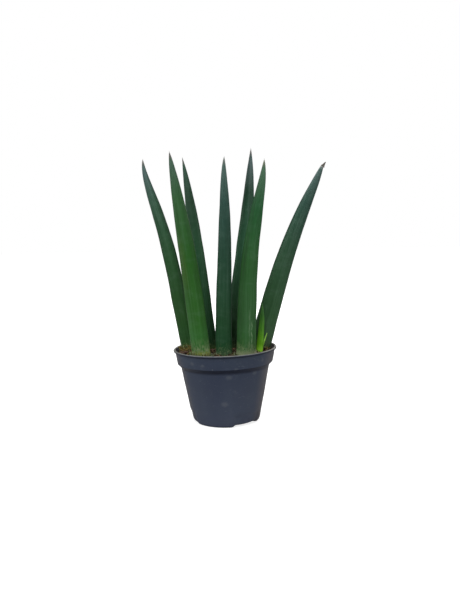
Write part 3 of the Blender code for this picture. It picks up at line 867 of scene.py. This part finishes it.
def make_leaves():
    finishes = {
        "leaf_far_left": dict(
            along=[(0.0085, 0.0610, 0.0065), (0.0148, 0.0620, 0.0105), (0.0140, 0.0630, 0.0172),
                   (0.0270, 0.0765, 0.0442), (0.0560, 0.1000, 0.0925)],
            flank=(0.45, 0.95, 0.55), scurf_share=0.9, bloom=0.04, foot_colour=(0.210, 0.210, 0.060)),
        "leaf_left_front": dict(
            along=[(0.0330, 0.1540, 0.0270), (0.0225, 0.1035, 0.0128), (0.0170, 0.0890, 0.0105),
                   (0.0305, 0.1000, 0.0312), (0.0480, 0.1040, 0.0650)],
            flank=(0.35, 0.75, 0.32), scurf_share=1.0, bloom=0.66, foot_colour=(0.250, 0.270, 0.055),
            lit_side_tint=((0.050, 0.105, 0.014), 0.1, -0.5, 0.28, 0.66)),
        "leaf_left_back": dict(
            along=[(0.0066, 0.0390, 0.0106), (0.0130, 0.0560, 0.0190), (0.0152, 0.0670, 0.0265),
                   (0.0160, 0.0465, 0.0242), (0.0280, 0.0690, 0.0450)],
            flank=(-0.05, -0.65, 0.40), scurf_share=0.3),
        "leaf_centre": dict(
            along=[(0.0122, 0.0660, 0.0215), (0.0105, 0.0550, 0.0184), (0.0142, 0.0530, 0.0295),
                   (0.0240, 0.0670, 0.0515), (0.0600, 0.1110, 0.0940)],
            scurf_share=0.45, foot_colour=(0.080, 0.105, 0.060), dry_colour=(0.150, 0.170, 0.155)),
        "leaf_right_back": dict(
            along=[(0.0040, 0.0190, 0.0040), (0.0060, 0.0300, 0.0082), (0.0200, 0.0820, 0.0375),
                   (0.0030, 0.0310, 0.0130), (0.0500, 0.0800, 0.0780)],
            flank=(0.05, 0.60, 0.40), scurf_share=0.2),
        "leaf_right_front": dict(
            along=[(0.0270, 0.1190, 0.0233), (0.0252, 0.0950, 0.0240), (0.0203, 0.0920, 0.0201),
                   (0.0165, 0.0925, 0.0290), (0.0630, 0.1400, 0.0810)],
            flank=(-0.28, -0.80, 0.46), scurf_share=0.9, bloom=0.30, foot_colour=(0.300, 0.330, 0.200),
            dry_colour=(0.150, 0.170, 0.120),
            scar=[(0.50, 0.11, 0.02, 0.20, 0.60), (0.24, 0.16, 0.03, 0.26, 0.20)]),
        "leaf_far_right": dict(
            along=[(0.0300, 0.0742, 0.0270), (0.0216, 0.0730, 0.0226), (0.0196, 0.0630, 0.0282),
                   (0.0190, 0.0570, 0.0405), (0.0510, 0.0930, 0.0825)],
            dry_colour=(0.30, 0.30, 0.29), scurf_share=0.5, bloom=0.1),
    }
    for k, (name, finish) in enumerate(finishes.items()):
        slot = "leaf_skin_bright" if name in ("leaf_left_front", "leaf_right_front") else "leaf_skin_dark"
        mesh = leaf_mesh(name + "_skin", LEAVES[name], 40 + k)
        place(name + "_skin", mesh, leaf_finish(name + "_finish", **finish), slot, name)
    young = leaf_finish("young_leaf_finish", wax=(0.55, 0.80, 0.20), lines=0.6, dry=1.1,
                        along=[(0.320, 0.730, 0.044), (0.103, 0.343, 0.002), (0.046, 0.186, 0.008),
                               (0.027, 0.112, 0.016), (0.034, 0.112, 0.026)])
    # the side blade's finish: its own pale young green, brightened further as painted light against the shade
    # cast by the shoot and the right front leaf
    side_blade_brightened = leaf_finish("side_blade_brightened_finish", wax=(0.65, 0.85, 0.35), lines=0.6, dry=1.1,
                           along=[(0.25, 0.58, 0.04)] * 2 + [(0.30, 0.62, 0.08)] * 3)
    for name, sides, rings, own in (("shoot_blade", 48, 110, young),
                                    ("shoot_side_blade", 28, 60, side_blade_brightened)):
        mesh = leaf_mesh(name + "_skin", LEAVES[name], 60, rings=rings, sides=sides, ribs=10, relief=0.5)
        place(name + "_skin", mesh, own, "young_leaf", name)


# ---- Dry remains
def sheet_mesh(name, front, back, straight):
    """Closed thin sheet from a front and a back grid of points, joined all round their edge."""
    rows, columns = front.shape[:2]
    one = rows * columns
    index = np.arange(one).reshape(rows, columns)
    cells = stack(index[:-1, :-1], index[:-1, 1:], index[1:, 1:], index[1:, :-1]).reshape(-1, 4)
    rim = np.concatenate([index[0, :-1], index[:-1, -1], index[-1, :0:-1], index[:0:-1, 0]])
    after = np.roll(rim, -1)
    side = stack(rim, rim + one, after + one, after)
    faces = cells.tolist() + (cells[:, ::-1] + one).tolist() + side.tolist()
    both = np.vstack([front.reshape(-1, 3), back.reshape(-1, 3)])
    return make_mesh(name, both, faces, straight=np.vstack([straight.reshape(-1, 3)] * 2))


def soil_top(x, y):
    """Soil level: a low crown, clods from waves of three lengths, a rise at the leaves' feet, and
    heaps that fall away as exp(-r^2). It has settled towards the front."""
    radius = np.hypot(x, y)
    spots = stack(x, y, 0.0)
    clods = 0.0005 * waves(spots, 21, 0.013, 2) + 0.0003 * waves(spots, 22, 0.0042, 2)
    crown = SOIL_CROWN * (1.0 - (radius / SOIL_RADIUS) ** 2)
    rim = smoothstep((SOIL_RADIUS - radius) / 0.006)
    mound = 0.0007 * np.exp(-np.maximum(foot_distance(x, y), 0.0) / 0.0025)
    for heap in HEAPS:
        away = np.hypot(x - heap["place"][0] * SOIL_RADIUS, y - heap["place"][1] * SOIL_RADIUS)
        mound = mound + heap["height"] * np.exp(-(away / heap["reach"]) ** 2)
    dip = SOIL_DIP * smoothstep((-0.010 - y) / 0.014)
    return SOIL_LEVEL + crown - dip + clods * (0.4 + 0.6 * rim) + mound * rim


def foot_distance(x, y):
    """Distance from a place on the soil to the nearest leaf's skin, below 0 inside a leaf."""
    nearest = np.full(np.shape(x), 1.0)
    for leaf in LEAVES.values():
        share = np.array((SOIL_LEVEL - LEAF_FOOT_LEVEL) / leaf["tip"][2])
        centre = leaf_path(leaf, share)
        _, side, back = leaf_axes(leaf, share)
        half = leaf_half_width(leaf, share)
        deep = leaf_depth(leaf, half)
        off = stack(x - centre[0], y - centre[1])
        across = off @ side[:2] / half
        out = off @ back[:2]
        out = np.where(out > 0.0, out / (BACK_SHARE * deep), out / ((1.0 - BACK_SHARE) * deep))
        nearest = np.minimum(nearest, (np.hypot(across, out) - 1.0) * 0.7 * half)
    return nearest


def make_scales():
    """Papery sheath remains: a sheet that clasps the leaf, its top edge torn into fine teeth that
    curl away. The edge is a slow wave less the sawteeth of six pitches."""
    mossy = fibre_finish("dry_sheath_paper", (0.235, 0.270, 0.085), (0.075, 0.075, 0.022), 1700.0,
                         60.0, 0.85, 0.8, patches=[((0.120, 0.052, 0.018), 420.0, 0.55),
                                                   ((0.400, 0.420, 0.230), 700.0, 0.25)])
    pale = fibre_finish("pale_sheath_paper", (0.560, 0.560, 0.420), (0.260, 0.260, 0.150), 1500.0,
                        60.0, 0.85, 0.7, patches=[((0.150, 0.190, 0.070), 500.0, 0.45)])
    columns = 170
    for name, scale in SCALES.items():
        leaf = LEAVES[scale["leaf"]]
        rise = leaf["tip"][2]
        rng = np.random.default_rng(scale["seed"])
        angle = np.radians(np.linspace(*scale["span"], columns))
        up = np.linspace(0.0, 1.0, 18)[:, None]
        foot = leaf_points(leaf, 0.0, angle, grow=0.0004)
        stand = soil_top(foot[:, 0], foot[:, 1]) - 0.0006 - foot[:, 2]
        place_along = np.linspace(0.0, 1.0, columns)
        torn = 0.50 + 0.25 * np.sin(TURN * (1.3 * place_along + rng.random()))
        for pitch in (4, 7, 12, 19, 31, 47):
            saw = (pitch * place_along + rng.random() + 0.3 * np.sin(9.0 * place_along)) % 1.0
            torn = torn + 0.60 / pitch ** 0.42 * (np.minimum(saw / 0.75, (1.0 - saw) / 0.25) - 0.55)
        torn = np.clip(torn, 0.08, 1.30) * np.sin(math.pi * (0.04 + 0.92 * place_along)) ** 0.4
        level = stand + (scale["height"] * torn + 0.0006) * up
        curl = 0.0002 + 0.0009 * up ** 2.2 * (0.5 + 0.5 * np.sin(TURN * (5.4 * place_along + rng.random())))
        front = leaf_points(leaf, level / rise, angle, grow=curl + 0.00018)
        back = leaf_points(leaf, level / rise, angle, grow=curl)
        straight = stack(angle * 0.009, 0.0, level)
        finish = pale if name == "dry_scale_right_front" else mossy
        place(name + "_paper", sheet_mesh(name + "_paper", front, back, straight), finish,
              "dry_sheath", name)


def make_broken_tip():
    """The far right leaf's dead point: a flat dry horn that leaves the break upright and curls over
    to the right, broadest at its lower lobe. Its mid line is a cubic."""
    leaf = LEAVES["leaf_far_right"]
    finish = fibre_finish("dead_tip", (0.150, 0.138, 0.122), (0.062, 0.055, 0.048), 1400.0, 120.0,
                          0.8, 0.8)
    point = leaf_path(leaf, np.array(1.0))
    start = point + np.array([-0.0016, 0.0, -0.0062])
    end = point + np.array([0.0027, 0.0008, 0.0004])
    t = np.linspace(0.0, 1.0, 44)[:, None]
    line = hermite(t, start, end, np.array([0.0002, 0.0, 0.0052]), np.array([0.0046, 0.0, 0.0056]))
    along = unit(np.gradient(line, axis=0))
    side = stack(along[:, 2], 0.0, -along[:, 0])
    front = np.cross(along, side)
    wide = 0.00220 * (1.0 - t ** 1.25) ** 0.85 + 0.00035 * np.exp(-((t - 0.22) / 0.10) ** 2) + 0.00008
    thin = 0.0011 * (1.0 - t) ** 0.8 + 0.00008
    turn = full_turn(24)
    crumple = 1.0 + 0.10 * np.sin(3.0 * turn + 14.0 * t) + 0.06 * np.sin(5.0 * turn - 23.0 * t)
    across = np.cos(turn) * wide * crumple
    deep = np.sin(turn) * thin * crumple
    rings = line[:, None] + side[:, None] * across[..., None] + front[:, None] * deep[..., None]
    mesh = tube_mesh("dead_tip", rings, start - along[0] * 0.0003, end + along[-1] * 0.0002,
                     straight=(stack(across, deep, 0.008 * t), [0, 0, 0], [0, 0, 0.008]))
    place("leaf_far_right_dead_tip", mesh, finish, "dry_sheath")


# ---- Soil
def make_soil():
    """Soil body: uneven top disc, then the pot's inside followed down to the floor."""
    sides = 300
    radii = SOIL_RADIUS * np.linspace(0.0, 1.0, 95)[1:, None]
    top = polar(radii, full_turn(sides))
    top[..., 2] = soil_top(top[..., 0], top[..., 1])
    wall = evened(rounded(wall_corners(WALL + SOIL_GAP))[8:], 0.004)
    lower = lean_collar(press_channels(turned(wall[:-1], sides)))
    mesh = tube_mesh("soil_bed", np.concatenate([top, lower]),
                     [0.0, 0.0, soil_top(np.zeros(1), np.zeros(1))[0]], [0.0, 0.0, wall[-1, 1]])
    place("soil_bed", mesh, soil_finish("peat_soil", False), "potting_mix", "potting_soil")


def scattered(rng, count, sizes):
    """Random places on the soil that keep clear of the leaves and of the pot's wall."""
    spots = np.zeros((0, 2))
    while len(spots) < count:
        turn = rng.uniform(0.0, TURN, count * 3)
        radius = SOIL_RADIUS * np.sqrt(rng.uniform(0.0, 1.0, count * 3))
        more = polar(radius, turn)[:, :2]
        reach = rng.choice(sizes, count * 3)
        clear = (foot_distance(more[:, 0], more[:, 1]) > 0.0006) & (radius < SOIL_RADIUS - 0.0006 - reach)
        spots = np.vstack([spots, more[clear]])
    return spots[:count]


def point_tints(tints, points):
    """One colour for each piece, with full alpha, repeated over that piece's points."""
    return np.repeat(np.hstack([tints, np.ones((len(tints), 1))]), points, axis=0)


def make_crumbs():
    """Crumbs of peat, bark and moss: dented twenty-sided balls, flattened, drawn out and turned."""
    rng = np.random.default_rng(7)
    body = bmesh.new()
    bmesh.ops.create_icosphere(body, subdivisions=1, radius=1.0)
    ball = np.array([v.co for v in body.verts])
    faces = np.array([[v.index for v in f.verts] for f in body.faces])
    body.free()
    size = 0.00045 + 0.0011 * rng.random(CRUMBS) ** 2.2
    shape = stack(rng.uniform(0.9, 2.1, CRUMBS), rng.uniform(0.7, 1.2, CRUMBS),
                  rng.uniform(0.35, 0.9, CRUMBS))
    dents = rng.uniform(0.72, 1.22, (CRUMBS, len(ball), 1))
    local = ball[None] * dents * shape[:, None, :] * size[:, None, None]
    # mostly lying flat: a full turn about Z after a limited tilt
    tilt = np.clip(rng.normal(0.0, 0.35, CRUMBS), -0.9, 0.9)
    turn = rng.uniform(0.0, TURN, CRUMBS)
    x, y, z = local[..., 0], local[..., 1], local[..., 2]
    x, z = spin(x, z, tilt[:, None])
    x, y = spin(x, y, turn[:, None])
    spots = scattered(rng, CRUMBS, 2.0 * size)
    level = soil_top(spots[:, 0], spots[:, 1]) + 0.25 * size
    points = stack(x + spots[:, :1], y + spots[:, 1:], z + level[:, None])
    palette = np.array([(0.030, 0.018, 0.010), (0.055, 0.033, 0.019), (0.110, 0.058, 0.032),
                        (0.160, 0.080, 0.045), (0.240, 0.150, 0.080), (0.150, 0.170, 0.045),
                        (0.340, 0.280, 0.160)])
    pick = rng.choice(len(palette), CRUMBS, p=[0.30, 0.27, 0.18, 0.10, 0.06, 0.05, 0.04])
    tint = palette[pick] * rng.uniform(0.75, 1.25, (CRUMBS, 1))
    mossy = np.exp(-(np.hypot(spots[:, 0] + 0.041, spots[:, 1] + 0.004) / 0.014) ** 2)[:, None]
    tint = tint + mossy * rng.uniform(0.0, 1.0, (CRUMBS, 1)) * np.array([0.16, 0.13, 0.02])
    damp = smoothstep((-0.024 - spots[:, 1]) / 0.010)[:, None]
    tint = tint * (1.0 - damp * np.array([0.55, 0.30, 0.20]))
    all_faces = (faces[None] + len(ball) * np.arange(CRUMBS)[:, None, None]).reshape(-1, 3)
    mesh = make_mesh("soil_crumbs", points, all_faces.tolist(), tint=point_tints(tint, len(ball)))
    mesh.shade_flat()
    place("soil_crumbs", mesh, soil_finish("soil_crumb", True), "potting_mix")


def threads_mesh(name, line, thick, across, up, tint):
    """Many thin three-sided tubes: line holds each thread's points, thick its half width there."""
    count, rings = line.shape[:2]
    sides = 3
    corner = full_turn(sides)[:, None]
    points = line[:, :, None] + thick[:, :, None, None] * (across[:, :, None] * np.cos(corner)
                                                           + up[:, :, None] * np.sin(corner))
    per = rings * sides
    tube = ring_faces(rings, sides)
    ends = np.array([[2, 1, 0], [per - 3, per - 2, per - 1]])
    shift = per * np.arange(count)[:, None, None]
    faces = (tube[None] + shift).reshape(-1, 4).tolist() + (ends[None] + shift).reshape(-1, 3).tolist()
    return make_mesh(name, points, faces, tint=point_tints(tint, per))


def make_strands():
    """Coir and root strands along short bent curves on the soil."""
    rng = np.random.default_rng(17)
    spots = scattered(rng, STRANDS, [0.0025])
    turn = rng.uniform(0.0, TURN, STRANDS)[:, None]
    length = rng.uniform(0.004, 0.011, STRANDS)[:, None]
    bend = rng.normal(0.0, 0.9, STRANDS)[:, None]
    t = np.linspace(-0.5, 0.5, 8)[None, :]
    direction = turn + bend * t
    x = spots[:, :1] + length * t * np.cos(direction)
    y = spots[:, 1:] + length * t * np.sin(direction)
    outside = np.hypot(x, y) / (SOIL_RADIUS - 0.0008)
    x, y = x / np.maximum(outside, 1.0), y / np.maximum(outside, 1.0)
    arch = rng.uniform(0.0, 0.0012, STRANDS)[:, None] * (1.0 - 4.0 * t * t)
    line = stack(x, y, soil_top(x, y) + 0.00025 + arch)
    thick = rng.uniform(0.00010, 0.00022, STRANDS)[:, None] * (1.0 - 3.0 * t ** 2)
    across = stack(-np.sin(direction), np.cos(direction), 0.0)
    up = np.broadcast_to([0.0, 0.0, 1.0], across.shape)
    palette = np.array([(0.36, 0.30, 0.14), (0.24, 0.24, 0.06), (0.20, 0.12, 0.06), (0.10, 0.06, 0.03)])
    tint = palette[rng.choice(4, STRANDS, p=[0.3, 0.25, 0.25, 0.2])]
    mesh = threads_mesh("soil_strands", line, thick, across, up, tint)
    place("soil_strands", mesh, bpy.data.materials["soil_crumb"], "potting_mix")


def make_tufts():
    """Moss and torn sheath fibres that stand at the feet of the leaves: curved threads, thin at the
    top, which start in the soil just off the skin and lean a little away from it."""
    rng = np.random.default_rng(27)
    where = {"leaf_far_left": (0.40, 5, 175, 0.0088), "leaf_left_front": (0.32, -5, 185, 0.0066),
             "leaf_right_front": (0.12, -20, 200, 0.0046), "leaf_centre": (0.07, 0, 180, 0.0038),
             "leaf_far_right": (0.09, 20, 110, 0.0055)}
    foot, out, tall = [], [], []
    for name, (portion, first, last, height) in where.items():
        leaf = LEAVES[name]
        count = int(portion * TUFTS)
        angle = np.radians(rng.uniform(first, last, count))
        share = np.full(count, (SOIL_LEVEL - LEAF_FOOT_LEVEL) / leaf["tip"][2])
        near = leaf_points(leaf, share, angle, grow=0.0003)
        away = leaf_points(leaf, share, angle, grow=0.0013) - near
        foot.append(near + away * rng.uniform(0.0, 2.6, count)[:, None] ** 1.4)
        out.append(unit(away))
        tall.append(height * rng.uniform(0.25, 1.0, count) ** 1.3)
    foot, out, tall = np.vstack(foot), np.vstack(out), np.concatenate(tall)
    inside = np.hypot(foot[:, 0], foot[:, 1]) < SOIL_RADIUS - 0.0015
    foot, out, tall = foot[inside], out[inside], tall[inside]
    count = len(foot)
    t = np.linspace(0.0, 1.0, 6)[None, :, None]
    lean = out * rng.uniform(-0.05, 0.55, count)[:, None] + rng.normal(0.0, 0.30, (count, 3)) * [1, 1, 0]
    rise = np.array([0.0, 0.0, 1.0])
    base = stack(foot[:, 0], foot[:, 1], soil_top(foot[:, 0], foot[:, 1]) - 0.0004)
    line = base[:, None] + tall[:, None, None] * (rise * t + lean[:, None] * t ** 1.8)
    thick = rng.uniform(0.00016, 0.00046, count)[:, None] * (1.0 - 0.85 * t[..., 0] ** 1.5)
    across = np.broadcast_to(unit(np.cross(out, rise))[:, None], line.shape)
    up = np.broadcast_to(out[:, None], line.shape)
    palette = np.array([(0.42, 0.44, 0.11), (0.27, 0.34, 0.07), (0.32, 0.13, 0.04), (0.46, 0.25, 0.08),
                        (0.55, 0.50, 0.28), (0.08, 0.05, 0.02)])
    palette_front = np.array([(0.24, 0.34, 0.14), (0.14, 0.22, 0.08), (0.07, 0.06, 0.03),
                              (0.36, 0.44, 0.30)])
    tint = palette[rng.choice(len(palette), count, p=[0.24, 0.20, 0.20, 0.12, 0.12, 0.12])]
    damp = palette_front[rng.choice(len(palette_front), count, p=[0.30, 0.30, 0.25, 0.15])]
    at_front = smoothstep((-0.012 - line[:, 0, 1]) / 0.008)[:, None]
    tint = tint + at_front * (damp - tint)
    mesh = threads_mesh("foot_tufts", line, thick, across, up, tint * rng.uniform(0.7, 1.25, (count, 1)))
    place("foot_tufts", mesh, bpy.data.materials["soil_crumb"], "potting_mix")


def make_chips():
    """Bark chips: rounded wedges, thinner and narrower at one end, split into layers and ridges.
    The section is a superellipse: cosine and sine are raised to a power and keep their sign."""
    finish = fibre_finish("bark_grain", (0.125, 0.072, 0.050), (0.034, 0.020, 0.015), 1100.0, 150.0,
                          0.9, 0.9, specular=0.15)
    t = np.linspace(-1.0, 1.0, 46)[1:-1, None]
    turn = full_turn(48)
    plump = (1.0 - np.abs(t) ** 5) ** 0.3
    for k, chip in enumerate(CHIPS):
        length, width, thickness = chip["size"]
        y = signed_power(np.cos(turn), 0.45) * plump * (1.0 - 0.20 * (t + 1.0)) * 0.5 * width
        z = signed_power(np.sin(turn), 0.55) * plump * (1.0 - 0.22 * (t + 1.0)) * 0.5 * thickness
        x = 0.5 * length * t + 0.0005 * np.sin(7.0 * y / width + k) * np.abs(t) ** 3
        straight = stack(y, z, x)
        ridges = 0.00022 * waves(straight * [1.0, 0.6, 0.15], 70 + k, 0.0016, 2)
        layers = 0.00018 * np.tanh(4.0 * np.sin(TURN * z / 0.0011 + 2.0 * np.sin(300.0 * x + k)))
        swell = 1.0 + (ridges + layers) / (0.35 * width)
        angle = math.radians(chip["turn"])
        low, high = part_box(f"bark_chip_{k + 1}")
        across, deep = np.array(chip["place"]) * SOIL_RADIUS
        centre = np.array([across, deep, 0.5 * (low[2] + high[2]) - 0.0004])
        half = polar(0.5 * length, angle)
        points = centre + stack(*spin(x, y * swell, angle), z * swell)
        mesh = tube_mesh(f"bark_{k + 1}", points, centre - half, centre + half,
                         straight=(straight, [0, 0, -0.5 * length], [0, 0, 0.5 * length]))
        place(f"bark_{k + 1}", mesh, finish, "bark", f"bark_chip_{k + 1}")


# ---- Studio
def softbox(name, location, size, power):
    """Square light that faces the middle of the plant."""
    light = bpy.data.lights.new(name, "AREA")
    light.shape = "SQUARE"
    light.size = size
    light.energy = power
    lamp = add_object(name, light)
    lamp.location = location
    away = np.array(location) - LIGHT_AIM
    lamp.rotation_euler = (math.atan2(math.hypot(away[0], away[1]), away[2]), 0.0,
                           math.atan2(away[1], away[0]) + 0.5 * math.pi)


def seen_by_camera(tree):
    return field(node(tree, "ShaderNodeLightPath"), "Is Camera Ray")


def make_studio():
    """White surround and a pale floor that lights the underside of things only a little."""
    scene = bpy.context.scene
    scene.view_settings.view_transform = "Standard"
    scene.world = bpy.data.worlds.new("studio")
    scene.world.use_nodes = True
    tree = scene.world.node_tree
    background = tree.nodes["Background"].inputs
    background["Color"].default_value = grey(1.0)
    link(seen_by_camera(tree) * 0.76 + 0.24, background["Strength"])

    mesh = bpy.data.meshes.new("floor")
    mesh.from_pydata(polar(FLOOR_RADIUS, full_turn(96)).tolist(), [], [list(range(96))])
    floor = add_object("floor", mesh)
    material, tree, shader = new_material("pale_floor", roughness=0.9, specular=0.1)
    shader["Base Color"].default_value = grey(0.5)
    shader["Emission Color"].default_value = grey(1.0)
    glow = object_position(tree).vector("LENGTH").step(0.10, 1.10, 0.76, 1.0)
    link(seen_by_camera(tree) * glow, shader["Emission Strength"])
    mesh.materials.append(material)

    for name, (location, size, power) in SOFTBOXES.items():
        softbox(name, location, size, power)


def make_camera():
    """Camera in front of the plant, a little above it, dipped and rolled by a few degrees."""
    lens = bpy.data.cameras.new("studio_camera")
    lens.lens = CAMERA_LENS
    lens.sensor_width = 36.0
    lens.clip_start = 0.01
    camera = add_object("studio_camera", lens)
    camera.location = CAMERA_PLACE
    tilt = Matrix.Rotation(math.radians(90.0 - CAMERA_DIP), 4, "X")
    roll = Matrix.Rotation(math.radians(CAMERA_ROLL), 4, "Z")
    camera.rotation_euler = (tilt @ roll).to_euler()
    bpy.context.scene.camera = camera


make_camera()
make_studio()
make_pot()
make_soil()
make_crumbs()
make_strands()
make_tufts()
make_chips()
make_leaves()
make_scales()
make_broken_tip()

bpy.context.view_layer.update()
